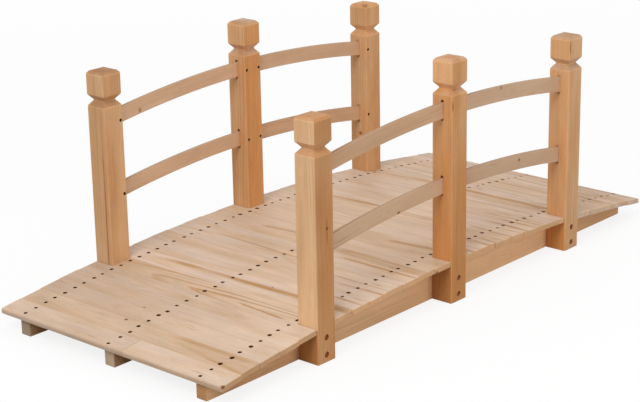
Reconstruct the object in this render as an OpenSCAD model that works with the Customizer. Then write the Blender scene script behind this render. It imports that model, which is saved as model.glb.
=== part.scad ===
// Low arched garden footbridge of bare softwood.
// Three joists lie flat on the ground and carry narrow planks over their arched tops.
// Six grooved posts are screwed to the outer joists and hold two pairs of curved slats on each side.
// Length runs along X, width along Y, height along Z. The origin is on the ground under the crown.

/* [Deck] */
// Length of the deck from nose to nose
deck_length = 1500; // [1420:10:1680]
// Radius of the walking surface
deck_radius = 5600; // [5000:100:9000]
// Height of the walking surface at the crown
crown_height = 99; // [85:1:140]
// Thickness of a plank
plank_thickness = 12; // [9:0.5:18]
// Opening between two planks
plank_gap = 0.4; // [0.2:0.1:2]
// Rounding along the top edges of a plank
plank_edge_radius = 0.5; // [0.3:0.1:2]
// Rounding along the outer edge of the first and last plank
nose_radius = 5; // [2:0.5:7]
// Largest difference between the sawn ends of the planks
end_stagger = 6; // [0:0.5:8]

/* [Joists] */
// Thickness of a joist
joist_thickness = 28; // [18:1:45]
// Distance of a joist's end behind the deck's nose
joist_setback = 10; // [4:1:40]

/* [Posts] */
// Width over the outer faces of the posts
overall_width = 666; // [560:2:800]
// Side of the square post
post_side = 54; // [44:0.5:54]
// Height of the posts at the crown
middle_post_height = 554; // [525:1:590]
// Fall of the posts' tops from the crown to the ends
post_top_fall = 32; // [12:1:56]
// Rounding along the long edges of a post
post_edge_radius = 2.5; // [1:0.5:8]

/* [Post caps] */
// Height of the upright faces of the cap
cap_face_height = 42; // [25:1:48]
// Height of the V-groove under the cap
groove_height = 26; // [14:1:30]
// Depth of the V-groove on each face
groove_depth = 10; // [4:0.5:14]
// Height of the flat at the bottom of the V-groove
groove_flat = 2; // [1:0.5:6]
// Width of the bevel around the top of the cap
cap_bevel_width = 8; // [3:0.5:12]
// Height of the bevel around the top of the cap
cap_bevel_height = 13; // [3:0.5:15]

/* [Slats] */
// Drop from the top of a middle post to the upper slat's top edge at the crown
upper_slat_drop = 97; // [90:1:120]
// Drop from the top of a middle post to the lower slat's top edge at the crown
lower_slat_drop = 267; // [220:1:320]
// Fall of the slats towards the ends beyond the fall of the posts' tops
slat_extra_fall = 4; // [0:0.5:12]
// Height of a slat
slat_height = 35; // [24:1:44]
// Thickness of a slat
slat_thickness = 8; // [5:0.5:14]

/* [Mortises] */
// Depth of a mortise
mortise_depth = 18; // [10:1:20]
// Clearance on each side of a slat
mortise_side_clearance = 0.2; // [0.1:0.1:0.6]
// Room above and below a slat in the straight part of its mortise
mortise_room = 0.5; // [0.3:0.1:4]
// Clearance between a slat's end and the bottom of its mortise
mortise_end_clearance = 0.5; // [0.2:0.1:3]

/* [Foot screws] */
// Diameter of the counterbore for a screw head
counterbore_diameter = 12.5; // [6:0.5:14]
// Depth of the counterbore
counterbore_depth = 7; // [3:0.5:14]
// Height of the lower screw
lower_screw_height = 16.5; // [10:0.5:20]
// Height of the upper screw
upper_screw_height = 54.5; // [36:0.5:58]

/* [Hidden] */
$fn = 48;
// facets of a full circle where only a shallow arc of it is used
arch_facets = 3600;
// planks between two neighbouring posts, and beyond an end post
bay_planks = 7;
end_planks = 5;
post_step = bay_planks + 1;
last_plank = post_step + end_planks;
plank_count = 2 * last_plank + 1;

// the deck is divided into equal angles about the centre of its curve
plank_angle = 2 * asin(deck_length / 2 / deck_radius) / plank_count;
joist_radius = deck_radius - plank_thickness;
deck_centre_height = crown_height - deck_radius;
plank_width = 2 * joist_radius * tan(plank_angle / 2) - plank_gap;

post_half = post_side / 2;
end_post_height = middle_post_height - post_top_fall;
// an end post is centred in its opening at half the planks' thickness
post_x = (joist_radius + plank_thickness / 2) * sin(post_step * plank_angle);
post_y = overall_width / 2 - post_half;
inner_face_y = post_y - post_half;
joist_length = deck_length - 2 * joist_setback;

// the planks between two posts stop short of them
short_plank_clearance = 0.5;
short_plank_length = 2 * (inner_face_y - short_plank_clearance);

groove_middle_drop = cap_bevel_height + cap_face_height + groove_height / 2;

// the slats of both bays lie on one arc that follows the tops of the posts
upper_slat_top = middle_post_height - upper_slat_drop;
lower_slat_top = middle_post_height - lower_slat_drop;
slat_fall = post_top_fall + slat_extra_fall;
slat_radius = (post_x * post_x + slat_fall * slat_fall) / 2 / slat_fall;
slat_seat = mortise_depth - mortise_end_clearance;

// a mortise's straight sides take the slat at its steepest, and its ends are half round
slat_end_slope = asin((post_x - post_half) / slat_radius);
mortise_width = slat_thickness + 2 * mortise_side_clearance;
slat_reach = slat_height / cos(slat_end_slope) + mortise_depth * tan(slat_end_slope);
mortise_straight = slat_reach + 2 * mortise_room;

// cutters reach this far past what they cut
overcut = 3;

post_colour = [0.74, 0.56, 0.38];
plank_colour = [0.80, 0.68, 0.54];
slat_colour = [0.70, 0.56, 0.43];
joist_colour = [0.68, 0.50, 0.32];

function two_digits(number) = str(number < 10 ? "0" : "", number);
function plank_name(number) = str("deck_plank_", two_digits(number));

// height of a slat's middle line at a distance x from the crown
function slat_middle(top, x) =
    top - slat_radius + sqrt(slat_radius * slat_radius - x * x) - slat_height / 2;

// the sawn ends step in and out along the deck, alike on both sides of the crown
stagger_steps = 4;
stagger_stride = 2;
function plank_length(place) =
    overall_width - end_stagger * ((abs(place) * stagger_stride) % (stagger_steps + 1)) / stagger_steps;

// stands a drawing in the XY plane up into XZ and gives it a thickness along Y
module upright(thickness) {
    rotate([90, 0, 0])
        linear_extrude(height = thickness, center = true)
            children();
}

// flat underside on the ground, top sawn to the arch
module joist(y) {
    translate([0, y, 0])
        upright(joist_thickness)
            intersection() {
                translate([-joist_length / 2, 0])
                    square([joist_length, crown_height]);
                translate([0, deck_centre_height])
                    circle(r = joist_radius, $fn = arch_facets);
            }
}

// board section, its underside on the X axis, with its two top edges rounded
module plank_section(left_radius, right_radius) {
    half = plank_width / 2;
    left_middle = -half + left_radius;
    right_middle = half - right_radius;
    translate([left_middle, 0])
        square([right_middle - left_middle, plank_thickness]);
    translate([-half, 0])
        square([left_radius, plank_thickness - left_radius]);
    translate([right_middle, 0])
        square([right_radius, plank_thickness - right_radius]);
    translate([left_middle, plank_thickness - left_radius])
        circle(r = left_radius);
    translate([right_middle, plank_thickness - right_radius])
        circle(r = right_radius);
}

// place counts from the crown: negative towards the near end, positive towards the far end
module plank(place) {
    short = abs(place) % post_step == 0;
    board_length = short ? short_plank_length : plank_length(place);
    left_radius = place == -last_plank ? nose_radius : plank_edge_radius;
    right_radius = place == last_plank ? nose_radius : plank_edge_radius;
    translate([0, 0, deck_centre_height])
        rotate([0, place * plank_angle, 0])
            translate([0, 0, joist_radius])
                upright(board_length)
                    plank_section(left_radius, right_radius);
}

module deck_plank(number) {
    color(plank_colour)
        plank(number - 1 - last_plank);
}

module joist_left() {
    color(joist_colour)
        joist(inner_face_y - joist_thickness / 2);
}

module joist_middle() {
    color(joist_colour)
        joist(0);
}

module joist_right() {
    color(joist_colour)
        joist(joist_thickness / 2 - inner_face_y);
}

module post_section() {
    flat = post_side - 2 * post_edge_radius;
    corner = post_half - post_edge_radius;
    square([post_side, flat], center = true);
    square([flat, post_side], center = true);
    for (x = [-corner, corner])
        for (y = [-corner, corner])
            translate([x, y])
                circle(r = post_edge_radius);
}

// a cutter drawn in radius and height, run along each of the four faces in turn
module along_four_faces() {
    for (face = [0:3])
        rotate([0, 0, 90 * face])
            upright(post_side + 2 * overcut)
                children();
}

module groove_profile() {
    neck = post_half - groove_depth;
    outside = post_half + overcut;
    slope = (groove_height - groove_flat) / 2 / groove_depth;
    flat_half = groove_flat / 2;
    outside_half = groove_height / 2 + slope * overcut;
    polygon([
        [neck, -flat_half],
        [neck, flat_half],
        [outside, outside_half],
        [outside, -outside_half]
    ]);
}

module bevel_profile() {
    inside = post_half - cap_bevel_width;
    outside = post_half + overcut;
    slope = cap_bevel_height / cap_bevel_width;
    polygon([
        [inside, 0],
        [outside, -cap_bevel_height - slope * overcut],
        [outside, overcut],
        [inside, overcut]
    ]);
}

// round-ended pocket for a slat, cut into the face towards +X or -X
module mortise(x, direction, top) {
    face_x = x + direction * post_half;
    middle_x = face_x - direction * (mortise_depth - overcut) / 2;
    middle_z = slat_middle(top, abs(face_x) - direction * sign(face_x) * mortise_depth / 2);
    translate([middle_x - x, 0, middle_z])
        rotate([90, 0, 90])
            linear_extrude(height = mortise_depth + overcut, center = true) {
                square([mortise_width, mortise_straight], center = true);
                for (end = [-1, 1])
                    translate([0, end * mortise_straight / 2])
                        circle(d = mortise_width);
            }
}

// side is 1 on the left and -1 on the right; directions lists the faces that take slats
module post(x, side, height, directions) {
    translate([x, side * post_y, 0])
        difference() {
            linear_extrude(height = height)
                post_section();
            translate([0, 0, height - groove_middle_drop])
                along_four_faces()
                    groove_profile();
            translate([0, 0, height])
                along_four_faces()
                    bevel_profile();
            for (direction = directions)
                for (top = [upper_slat_top, lower_slat_top])
                    mortise(x, direction, top);
            for (z = [lower_screw_height, upper_screw_height])
                translate([0, side * (post_half - counterbore_depth), z])
                    rotate([-90 * side, 0, 0])
                        cylinder(d = counterbore_diameter, h = counterbore_depth + overcut);
        }
}

module post_near_left() {
    color(post_colour)
        post(-post_x, 1, end_post_height, [1]);
}

module post_near_right() {
    color(post_colour)
        post(-post_x, -1, end_post_height, [1]);
}

module post_middle_left() {
    color(post_colour)
        post(0, 1, middle_post_height, [-1, 1]);
}

module post_middle_right() {
    color(post_colour)
        post(0, -1, middle_post_height, [-1, 1]);
}

module post_far_left() {
    color(post_colour)
        post(post_x, 1, end_post_height, [-1]);
}

module post_far_right() {
    color(post_colour)
        post(post_x, -1, end_post_height, [-1]);
}

// one bay's length of a ring whose top edge is highest at the crown
module slat(end, side, top) {
    inner_x = post_half - slat_seat;
    outer_x = post_x - post_half + slat_seat;
    ring_centre = top - slat_radius;
    translate([0, side * post_y, 0])
        upright(slat_thickness)
            intersection() {
                translate([end > 0 ? inner_x : -outer_x, 0])
                    square([outer_x - inner_x, top]);
                translate([0, ring_centre])
                    difference() {
                        circle(r = slat_radius, $fn = arch_facets);
                        circle(r = slat_radius - slat_height, $fn = arch_facets);
                    }
            }
}

module upper_slat_near_left() {
    color(slat_colour)
        slat(-1, 1, upper_slat_top);
}

module upper_slat_near_right() {
    color(slat_colour)
        slat(-1, -1, upper_slat_top);
}

module upper_slat_far_left() {
    color(slat_colour)
        slat(1, 1, upper_slat_top);
}

module upper_slat_far_right() {
    color(slat_colour)
        slat(1, -1, upper_slat_top);
}

module lower_slat_near_left() {
    color(slat_colour)
        slat(-1, 1, lower_slat_top);
}

module lower_slat_near_right() {
    color(slat_colour)
        slat(-1, -1, lower_slat_top);
}

module lower_slat_far_left() {
    color(slat_colour)
        slat(1, 1, lower_slat_top);
}

module lower_slat_far_right() {
    color(slat_colour)
        slat(1, -1, lower_slat_top);
}

joist_left();
joist_middle();
joist_right();
for (number = [1:plank_count])
    deck_plank(number);
post_near_left();
post_near_right();
post_middle_left();
post_middle_right();
post_far_left();
post_far_right();
upper_slat_near_left();
upper_slat_near_right();
upper_slat_far_left();
upper_slat_far_right();
lower_slat_near_left();
lower_slat_near_right();
lower_slat_far_left();
lower_slat_far_right();
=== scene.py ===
import math
import random

import bmesh
import bpy
from mathutils import Matrix, Vector


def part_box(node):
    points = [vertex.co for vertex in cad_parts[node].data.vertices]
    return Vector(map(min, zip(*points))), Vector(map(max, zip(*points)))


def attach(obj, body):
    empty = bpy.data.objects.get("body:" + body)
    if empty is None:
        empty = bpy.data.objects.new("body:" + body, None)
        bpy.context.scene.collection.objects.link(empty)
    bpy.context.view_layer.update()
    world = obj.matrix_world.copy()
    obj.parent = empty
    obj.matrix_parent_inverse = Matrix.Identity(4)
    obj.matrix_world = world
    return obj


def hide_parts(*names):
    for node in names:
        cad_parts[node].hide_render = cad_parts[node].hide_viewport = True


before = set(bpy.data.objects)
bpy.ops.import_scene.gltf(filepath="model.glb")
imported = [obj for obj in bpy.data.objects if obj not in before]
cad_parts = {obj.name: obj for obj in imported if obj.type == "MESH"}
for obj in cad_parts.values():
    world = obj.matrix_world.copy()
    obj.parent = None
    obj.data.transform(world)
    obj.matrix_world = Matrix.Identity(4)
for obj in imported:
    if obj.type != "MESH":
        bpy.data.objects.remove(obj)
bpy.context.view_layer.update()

# Sizes of the bridge in metres
DECK_LENGTH = 1.5
DECK_RADIUS = 5.6
CROWN_HEIGHT = 0.099
PLANK_THICKNESS = 0.012
PLANK_GAP = 0.0001
PLANK_EDGE = 0.0005
NOSE_RADIUS = 0.005
# keeps the end planks inside the CAD box, where the gaps are wider
NOSE_TRIM = 0.00015
PLANK_COUNT = 27
LAST_PLACE = PLANK_COUNT // 2
POST_STEP = 8
POST_SIDE = 0.054
POST_EDGE = 0.0025
CAP_HEIGHT = 0.055
GROOVE_HEIGHT = 0.026
GROOVE_DEPTH = 0.010
GROOVE_FLAT = 0.002
CAP_BEVEL_WIDTH = 0.0055
CAP_BEVEL_HEIGHT = 0.0085
UPPER_SLAT_TOP = 0.457
LOWER_SLAT_TOP = 0.287
SLAT_FALL = 0.036
SLAT_HEIGHT = 0.035
MORTISE_WIDTH = 0.0084
MORTISE_DEPTH = 0.018
MORTISE_ROOM = 0.0005
# a mortise's ends are shallow where no open hole shows beside the slat
MORTISE_TOP_DROP = 0.0015
SHALLOW_DEPTH = 0.0025
COUNTERBORE_RADIUS = 0.00625
COUNTERBORE_DEPTH = 0.007
FOOT_SCREW_HEIGHTS = (0.0165, 0.0545)

# Values that follow from the sizes
PLANK_ANGLE = 2 * math.asin(DECK_LENGTH / 2 / DECK_RADIUS) / PLANK_COUNT
JOIST_RADIUS = DECK_RADIUS - PLANK_THICKNESS
DECK_CENTRE = CROWN_HEIGHT - DECK_RADIUS
PLANK_WIDTH = 2 * JOIST_RADIUS * math.tan(PLANK_ANGLE / 2) - PLANK_GAP
POST_HALF = POST_SIDE / 2
POST_X = (DECK_RADIUS + JOIST_RADIUS) / 2 * math.sin(POST_STEP * PLANK_ANGLE)
POST_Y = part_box("post_near_left")[1].y - POST_HALF
INNER_FACE = POST_Y - POST_HALF
SLAT_RADIUS = (POST_X ** 2 + SLAT_FALL ** 2) / 2 / SLAT_FALL
JOIST_LINES = {
    name: (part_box(name)[0].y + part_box(name)[1].y) / 2
    for name in ("joist_left", "joist_middle", "joist_right")
}

# Finish of the wood and the screws
EASED_EDGE = 0.0006
CORNER_STEPS = 4
BAR_CORNER_STEPS = 2
MORTISE_END_STEPS = 6
CURVE_SHARES = (0.0, 0.25, 0.5, 0.75, 1.0)
SAME_POINT = 1e-6
ROUND_SIDES = 24
OVERCUT = 0.003
PLANING_LOSS = 0.0003
DECK_SCREW_SPREAD = 0.015
DECK_SCREW_WANDER = 0.0022
DECK_SCREW_RADII = (0.0033, 0.0049)
DECK_SCREW_SINKS = (0.0012, 0.0028)
SLAT_SCREW_INSET = 0.007
SLAT_SCREW_RADIUS = 0.0032
SLAT_SCREW_SINK = 0.003
FOOT_SCREW_RADIUS = 0.0047
FOOT_SCREW_SINK = 0.0022
SCREW_THICKNESS = 0.0012
HOLE_CLEARANCE = 0.0002
HOLE_FLARE = 0.0006


def luck_of(name):
    """A piece's own run of chance, the same each time."""
    return random.Random("bridge " + name)


def drawn(chance, ranges):
    """One value from each range, by chance."""
    return [chance.uniform(*limits) for limits in ranges]


def linear(red, green, blue):
    """A colour given as it looks on screen, 0 to 255, as Blender's linear values."""

    def channel(value):
        share = value / 255
        return share / 12.92 if share <= 0.04045 else ((share + 0.055) / 1.055) ** 2.4

    return (channel(red), channel(green), channel(blue), 1.0)


# Node helpers

# colour sockets of a Mix node
MIX_FIRST = 6
MIX_SECOND = 7
MIX_RESULT = 2


class Nodes:
    """Adds nodes to a tree, with their inputs set or linked in one call."""

    def __init__(self, tree):
        self.tree = tree
        tree.nodes.clear()

    def add(self, kind, inputs=(), **settings):
        node = self.tree.nodes.new("ShaderNode" + kind)
        for name, value in settings.items():
            setattr(node, name, value)
        for key, value in dict(inputs).items():
            self.feed(node.inputs[key], value)
        return node

    def feed(self, socket, value):
        if isinstance(value, bpy.types.NodeSocket):
            self.tree.links.new(value, socket)
        else:
            socket.default_value = value

    def math(self, operation, first, second=0.0, third=0.0):
        node = self.add("Math", {0: first, 1: second, 2: third}, operation=operation)
        return node.outputs[0]

    def vector(self, operation, first, second=(0, 0, 0)):
        node = self.add("VectorMath", {0: first, 1: second}, operation=operation)
        return node.outputs["Value" if operation in ("LENGTH", "DISTANCE") else "Vector"]

    def ramp(self, value, low, high, start=0.0, end=1.0, smooth=True):
        kind = "SMOOTHSTEP" if smooth else "LINEAR"
        inputs = {"Value": value, "From Min": low, "From Max": high, "To Min": start, "To Max": end}
        return self.add("MapRange", inputs, interpolation_type=kind).outputs["Result"]

    def noise(self, place, along, across, detail=2.0, roughness=0.5):
        """Noise with so many waves in a metre along the fibres and across them."""
        scaled = self.vector("MULTIPLY", place, (along, across, across))
        inputs = {"Vector": scaled, "Scale": 1.0, "Detail": detail, "Roughness": roughness}
        return self.add("TexNoise", inputs).outputs

    def mix(self, share, first, second, blend="MIX"):
        node = self.add("Mix", {0: share}, data_type="RGBA", blend_type=blend)
        self.feed(node.inputs[MIX_FIRST], first)
        self.feed(node.inputs[MIX_SECOND], second)
        return node.outputs[MIX_RESULT]


def new_material(name):
    material = bpy.data.materials.new(name)
    material.use_nodes = True
    return material, Nodes(material.node_tree)


def close_material(nodes, colour, rough, shine, bump):
    """Ends a material's nodes in one shader with a bump."""
    inputs = {
        "Base Color": colour,
        "Roughness": rough,
        "Specular IOR Level": shine,
        "Normal": bump.outputs["Normal"],
    }
    shader = nodes.add("BsdfPrincipled", inputs)
    nodes.add("OutputMaterial", {"Surface": shader.outputs["BSDF"]})


# Materials

KNOT_COLOUR = linear(120, 69, 34)
FLAW_COLOUR = linear(138, 88, 52)
POST_FLAW_COLOUR = linear(164, 100, 58)
PATCH_COLOUR = linear(214, 192, 178)
CHECK_COLOUR = linear(128, 90, 60)

# waves in a metre along and across the fibres, then detail and roughness where they are set
RING_WANDER = (1.6, 13.0)
RING_SHIVER = (9.0, 110.0)
RING_FADE = (2.4, 22.0)
TONE_DRIFT = (3.4, 18.0)
PALE_PATCHES = (4.0, 34.0)
STREAK_BREAKS = (6.0, 70.0)
CHECK_PLACES = (5.0, 16.0)
CHECK_LINES = (11.0, 260.0, 2.0, 0.6)
FIBRES = (22.0, 800.0, 3.0, 0.65)
CLOUDS = (10.0, 26.0, 3.0)
LONG_STREAKS = (1.3, 60.0, 3.0, 0.6)
DARK_DASHES = (38.0, 620.0, 1.0)

# where a noise starts to count, and where it counts in full
FADE_LIMITS = (0.36, 0.62)
DRIFT_LIMITS = (0.32, 0.68)
PATCH_LIMITS = (0.36, 0.6)
BREAK_LIMITS = (0.3, 0.6)
CHECK_LIMITS = (0.5, 0.62)
LINE_LIMITS = (0.58, 0.72)
DASH_LIMITS = (0.64, 0.76)

# the same for marks, as shares of a ring's width or of a mark's own size
RING_RISE = (0.4, 0.9)
RING_FALL = (1.0, 0.9)
SWING_LIMITS = (5.0, 0.6)
STREAK_SIDES = (1.0, 0.3)
STREAK_ENDS = (1.0, 0.6)
JOINT_SIDES = (1.0, 0.4)
FLAW_RIM = (1.0, 0.3)
HALO_RIM = (1.9, 0.9)
KNOT_RIM = (1.1, 0.75)

# the least that is left of a ring, of its length and of a streak
FAINT_RING = 0.2
FAINT_STRETCH = 0.15
FAINT_STREAK = 0.35

# how far the rings bend, and how strongly each mark shows
WANDER_REACH = 0.022
SHIVER_REACH = 0.002
KNOT_SWING = 2.2
JOINT_DEPTH = 0.6
END_DEPTH = 0.92
FIBRE_DEPTH = 0.16
DASH_DEPTH = 0.14
EDGE_LIGHT = 0.05
FLAW_DEPTH = 0.8
FLAW_RAGGEDNESS = 0.6
FLAW_SHIFT = 0.4
HALO_DEPTH = 0.45
KNOT_DEPTH = 0.9
RING_RELIEF = 0.5
WOOD_BUMP = (0.22, 0.0005)
WOOD_ROUGHNESS = (0.58, 0.16)


def wood(
    name, colours, ring_width, rings, streaks, checks, drift,
    clouds=0.2, flaw=FLAW_COLOUR, shine=0.2,
):
    """Bare softwood. Rings run round a pith line, so the faces and the sawn ends of a board agree."""
    pale, warm, late, end_colour = [linear(*colour) for colour in colours]
    material, nodes = new_material(name)

    def stored(attribute):
        return nodes.add("Attribute", attribute_name=attribute).outputs["Vector"]

    def parts(vector):
        return nodes.add("SeparateXYZ", {0: vector}).outputs

    def product(first, *others):
        for other in others:
            first = nodes.math("MULTIPLY", first, other)
        return first

    def noise(waves):
        return nodes.noise(grain, *waves)[0]

    def sway(waves, reach):
        around_middle = nodes.noise(grain, *waves)["Color"]
        offset = nodes.vector("SUBTRACT", around_middle, (0.5, 0.5, 0.5))
        return nodes.vector("MULTIPLY", offset, (0, reach, reach))

    def varied(value, depth):
        """A factor that varies about one, from a value about a half."""
        return nodes.math("MULTIPLY_ADD", value, depth, 1.0 - depth / 2)

    grain = stored("grain")
    lightness, warmth, contrast = parts(stored("board"))
    end_grain, edge, patch_share = parts(stored("face"))
    knot_distance = nodes.vector("LENGTH", stored("knot"))
    flaw_distance = nodes.vector("LENGTH", stored("flaw"))

    # the rings wander, widen, fade in and out, and swing round a knot
    wander = sway(RING_WANDER, WANDER_REACH)
    shiver = sway(RING_SHIVER, SHIVER_REACH)
    bent = nodes.vector("ADD", nodes.vector("ADD", grain, wander), shiver)
    from_pith = nodes.vector("LENGTH", nodes.vector("MULTIPLY", bent, (0, 1, 1)))
    swing = nodes.ramp(knot_distance, *SWING_LIMITS, 0.0, ring_width * KNOT_SWING)
    ring = nodes.math("DIVIDE", nodes.math("ADD", from_pith, swing), ring_width)
    ring_place = nodes.math("FRACT", ring)
    rise = nodes.ramp(ring_place, *RING_RISE)
    fall = nodes.ramp(ring_place, *RING_FALL)
    ring_number = nodes.math("FLOOR", ring)
    luck = nodes.add("TexWhiteNoise", {"W": ring_number}, noise_dimensions="1D").outputs["Value"]
    weight = nodes.ramp(luck, 0.0, 1.0, FAINT_RING, 1.0, smooth=False)
    fade = nodes.ramp(noise(RING_FADE), *FADE_LIMITS, FAINT_STRETCH)
    latewood = product(rise, fall, weight, fade)

    # a slow drift of the colour, cool pale patches, then the rings
    drifting = nodes.ramp(noise(TONE_DRIFT), *DRIFT_LIMITS, 0.0, drift)
    tone = nodes.math("MULTIPLY_ADD", warmth, 1.0 - drift, drifting)
    colour = nodes.mix(tone, pale, warm)
    patch = nodes.ramp(noise(PALE_PATCHES), *PATCH_LIMITS)
    colour = nodes.mix(product(patch, patch_share), colour, PATCH_COLOUR)
    colour = nodes.mix(product(latewood, contrast, rings), colour, late)

    # resin streaks, a glued joint, drying checks and the sawn ends
    broken = nodes.ramp(noise(STREAK_BREAKS), *BREAK_LIMITS, FAINT_STREAK)
    for attribute in ("streak", "band"):
        across, along, share = parts(stored(attribute))
        shape = nodes.ramp(nodes.math("ABSOLUTE", across), *STREAK_SIDES)
        length = nodes.ramp(nodes.math("ABSOLUTE", along), *STREAK_ENDS)
        colour = nodes.mix(product(shape, length, share, broken), colour, late)
    joint_place = parts(stored("joint"))[0]
    joint_line = nodes.ramp(nodes.math("ABSOLUTE", joint_place), *JOINT_SIDES, 0.0, JOINT_DEPTH)
    colour = nodes.mix(joint_line, colour, late)
    rare = nodes.ramp(noise(CHECK_PLACES), *CHECK_LIMITS)
    split = nodes.ramp(noise(CHECK_LINES), *LINE_LIMITS, 0.0, checks)
    colour = nodes.mix(product(split, rare), colour, CHECK_COLOUR)
    colour = nodes.mix(product(end_grain, END_DEPTH), colour, end_colour)

    # fibres, clouds, long streaks, short dark dashes, and the board's own lightness
    fibre = noise(FIBRES)
    fibre_light = varied(fibre, FIBRE_DEPTH)
    cloud_light = varied(noise(CLOUDS), clouds)
    streak_light = varied(noise(LONG_STREAKS), streaks)
    dashes = nodes.ramp(noise(DARK_DASHES), *DASH_LIMITS, 1.0, 1.0 - DASH_DEPTH)
    edge_light = nodes.math("MULTIPLY_ADD", edge, EDGE_LIGHT, 1.0)
    light = product(fibre_light, cloud_light, streak_light, dashes, lightness, edge_light)
    shade = nodes.add("CombineXYZ", {0: light, 1: light, 2: light}).outputs[0]
    colour = nodes.mix(1.0, colour, shade, "MULTIPLY")
    unevenness = nodes.math("MULTIPLY_ADD", broken, -FLAW_RAGGEDNESS, FLAW_SHIFT)
    ragged = nodes.math("ADD", flaw_distance, unevenness)
    colour = nodes.mix(nodes.ramp(ragged, *FLAW_RIM, 0.0, FLAW_DEPTH), colour, flaw)
    halo = nodes.ramp(knot_distance, *HALO_RIM, 0.0, HALO_DEPTH)
    colour = nodes.mix(halo, colour, late)
    core = nodes.ramp(knot_distance, *KNOT_RIM, 0.0, KNOT_DEPTH)
    colour = nodes.mix(core, colour, KNOT_COLOUR)

    height = nodes.math("MULTIPLY_ADD", latewood, RING_RELIEF, fibre)
    strength, distance = WOOD_BUMP
    bump = nodes.add("Bump", {"Strength": strength, "Distance": distance, "Height": height})
    base, depth = WOOD_ROUGHNESS
    rough = nodes.math("MULTIPLY_ADD", fibre, depth, base)
    close_material(nodes, colour, rough, shine, bump)
    return material


STEEL_MOTTLE = 420.0
STEEL_WEAR = (0.52, 0.7)
STEEL_BUMP = (0.15, 0.0002)
STEEL_ROUGHNESS = (0.4, 0.3)
STEEL_SHINE = 0.04


def browned_steel(name, coating, worn_metal):
    """Screws with a brown coating, worn to metal here and there."""
    material, nodes = new_material(name)
    position = nodes.add("NewGeometry").outputs["Position"]
    inputs = {"Vector": position, "Scale": STEEL_MOTTLE, "Detail": 3.0}
    mottle = nodes.add("TexNoise", inputs).outputs[0]
    worn = nodes.ramp(mottle, *STEEL_WEAR)
    colour = nodes.mix(worn, coating, worn_metal)
    base, depth = STEEL_ROUGHNESS
    rough = nodes.math("MULTIPLY_ADD", mottle, depth, base)
    strength, distance = STEEL_BUMP
    bump = nodes.add("Bump", {"Strength": strength, "Distance": distance, "Height": mottle})
    close_material(nodes, colour, rough, STEEL_SHINE, bump)
    return material


JOIST_FINISH = {"rings": 0.4, "streaks": 0.25, "checks": 0.3, "drift": 0.35}
BORE_FINISH = {"rings": 0.5, "streaks": 0.2, "checks": 0.2, "drift": 0.35, "shine": 0.0}
# colours of pale and warm wood, latewood and sawn ends, then the width of the rings
POST_WOOD = wood(
    "post_wood", ((232, 190, 146), (206, 142, 84), (170, 112, 66), (204, 150, 104)),
    0.0052, rings=0.3, streaks=0.46, checks=0.25, drift=0.4, flaw=POST_FLAW_COLOUR,
)
DECK_WOOD = wood(
    "deck_wood", ((214, 188, 163), (198, 163, 130), (180, 136, 88), (210, 163, 119)),
    0.0052, rings=0.7, streaks=0.12, checks=0.35, drift=0.5, clouds=0.34,
)
SLAT_WOOD = wood(
    "slat_wood", ((226, 192, 160), (212, 168, 130), (168, 120, 84), (176, 126, 86)),
    0.0046, rings=0.26, streaks=0.22, checks=0.3, drift=0.35, flaw=POST_FLAW_COLOUR,
)
JOIST_WOOD = wood(
    "joist_wood", ((240, 198, 152), (230, 178, 130), (182, 126, 80), (186, 136, 92)),
    0.005, **JOIST_FINISH,
)
BORED_WOOD = wood(
    "bored_wood", ((206, 130, 76), (180, 106, 58), (130, 76, 42), (180, 106, 58)),
    0.0042, **BORE_FINISH,
)
# the walls of the screw holes are painted dark: painted shade in the holes
PAINTED_SHADE_BORE = wood(
    "painted_shade_bore", ((122, 80, 46), (100, 62, 34), (74, 44, 24), (92, 56, 30)),
    0.0042, **BORE_FINISH,
)
INNER_JOIST_WOOD = wood(
    "inner_joist_wood", ((232, 190, 146), (222, 170, 122), (176, 120, 76), (206, 180, 154)),
    0.005, **JOIST_FINISH,
)
DARK_STEEL = browned_steel("dark_steel", linear(68, 41, 21), linear(100, 65, 38))
BRONZED_STEEL = browned_steel("bronzed_steel", linear(156, 102, 58), linear(204, 150, 96))


# Mesh helpers


def rounded_outline(low, high, radii, steps=CORNER_STEPS):
    """Points round a rectangle, with an arc of its own radius at each corner."""
    turns = (math.pi, 1.5 * math.pi, 0.0, 0.5 * math.pi)
    corners = ((low[0], low[1]), (high[0], low[1]), (high[0], high[1]), (low[0], high[1]))
    inward = ((1, 1), (-1, 1), (-1, -1), (1, -1))
    points = []
    for (u, v), (du, dv), turn, radius in zip(corners, inward, turns, radii):
        for step in range(steps + 1):
            angle = turn + math.pi / 2 * step / steps
            points.append((u + radius * (du + math.cos(angle)), v + radius * (dv + math.sin(angle))))
    return points


def distinct(outline):
    """An outline without the points that fall on an earlier one."""
    kept = []
    for point in outline:
        if all((Vector(point) - Vector(other)).length > SAME_POINT for other in kept):
            kept.append(point)
    return kept


def circle(radius, sides=ROUND_SIDES):
    turns = [2 * math.pi * side / sides for side in range(sides)]
    return [(radius * math.cos(turn), radius * math.sin(turn)) for turn in turns]


def loft(shape, rings):
    """Adds a closed solid that runs through rings of equally many points."""
    rows = [[shape.verts.new(point) for point in ring] for ring in rings]
    faces = [shape.faces.new(rows[0][::-1]), shape.faces.new(rows[-1])]
    count = len(rows[0])
    for near, far in zip(rows, rows[1:]):
        for here in range(count):
            there = (here + 1) % count
            faces.append(shape.faces.new((near[here], near[there], far[there], far[here])))
    bmesh.ops.recalc_face_normals(shape, faces=faces)


def softened(corners):
    """An open line of corners, each given with how far its short curve reaches along both sides."""
    result = [corners[0][:2]]
    for before, (u, v, reach), after in zip(corners, corners[1:], corners[2:]):
        corner = Vector((u, v))
        start = corner + (Vector(before[:2]) - corner).normalized() * reach
        end = corner + (Vector(after[:2]) - corner).normalized() * reach
        for share in CURVE_SHARES if reach > 0 else CURVE_SHARES[:1]:
            first, second = start.lerp(corner, share), corner.lerp(end, share)
            result.append(tuple(first.lerp(second, share)))
    result.append(corners[-1][:2])
    return result


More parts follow.
